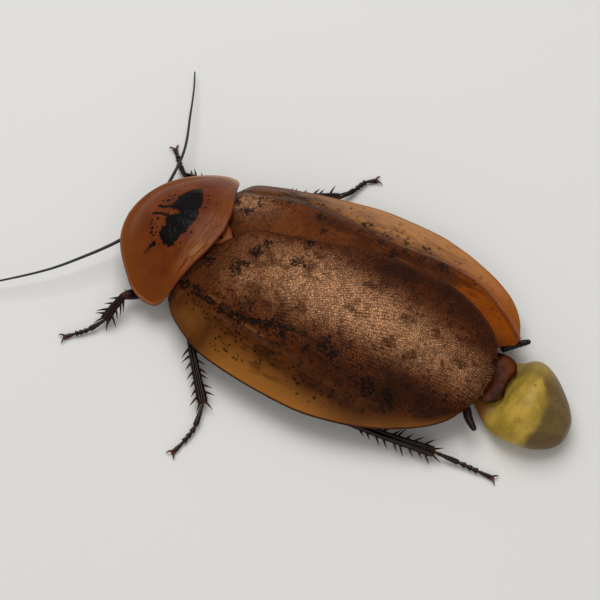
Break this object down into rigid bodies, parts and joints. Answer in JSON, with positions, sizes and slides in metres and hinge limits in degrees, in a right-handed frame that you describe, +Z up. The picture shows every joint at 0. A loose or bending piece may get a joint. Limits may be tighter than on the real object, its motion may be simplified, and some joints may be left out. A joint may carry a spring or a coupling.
{
  "type": "giant peppered cockroach",
  "caption": "Life-size still model of a winged female giant peppered cockroach with a spotted shield, overlapping wing covers, spined legs, long feelers and a pushed-out egg pouch.",
  "frame": {"origin": "bottom centre of the bounding box, on the floor the feet rest on", "axes": "+Y towards the animal's rear (head faces -Y), +X the animal's left, +Z up"},
  "size_m": [0.0694, 0.1056, 0.0147],
  "materials": {
    "pronotum_shell": "waxed dark chitin with a black blotch and a pale rim",
    "tegmen_membrane": "thin leathery wing cover, brown with tan mottling",
    "hindwing_membrane": "thin folded wing",
    "head_cuticle": "glossy brown-black head shell",
    "eye_cuticle": "very glossy black",
    "mouth_cuticle": "amber-brown mouthparts",
    "feeler_cuticle": "dull black beaded feeler",
    "belly_cuticle": "glossy red-brown plates",
    "leg_cuticle": "glossy red-black legs",
    "sac_skin": "moist translucent yellow-olive skin"
  },
  "bodies": {
    "root": {"abdomen": "belly_cuticle", "antenna_left": "feeler_cuticle", "antenna_right": "feeler_cuticle", "brood_sac": "sac_skin", "cercus_left": "leg_cuticle", "cercus_right": "leg_cuticle", "coxa_front_left": "leg_cuticle", "coxa_front_right": "leg_cuticle", "coxa_hind_left": "leg_cuticle", "coxa_hind_right": "leg_cuticle", "coxa_middle_left": "leg_cuticle", "coxa_middle_right": "leg_cuticle", "eye_left": "eye_cuticle", "eye_right": "eye_cuticle", "femur_front_left": "leg_cuticle", "femur_front_right": "leg_cuticle", "femur_hind_left": "leg_cuticle", "femur_hind_right": "leg_cuticle", "femur_middle_left": "leg_cuticle", "femur_middle_right": "leg_cuticle", "head": "head_cuticle", "hindwing_left": "hindwing_membrane", "hindwing_right": "hindwing_membrane", "labium": "mouth_cuticle", "labrum": "mouth_cuticle", "mandible_left": "mouth_cuticle", "mandible_right": "mouth_cuticle", "maxillary_palp_left": "mouth_cuticle", "maxillary_palp_right": "mouth_cuticle", "pronotum": "pronotum_shell", "prothorax": "belly_cuticle", "scutellum": "pronotum_shell", "supra_anal_plate": "belly_cuticle", "tarsus_front_left": "leg_cuticle", "tarsus_front_right": "leg_cuticle", "tarsus_hind_left": "leg_cuticle", "tarsus_hind_right": "leg_cuticle", "tarsus_middle_left": "leg_cuticle", "tarsus_middle_right": "leg_cuticle", "tegmen_left": "tegmen_membrane", "tegmen_right": "tegmen_membrane", "thorax": "belly_cuticle", "tibia_front_left": "leg_cuticle", "tibia_front_right": "leg_cuticle", "tibia_hind_left": "leg_cuticle", "tibia_hind_right": "leg_cuticle", "tibia_middle_left": "leg_cuticle", "tibia_middle_right": "leg_cuticle"}
  },
  "joints": []
}
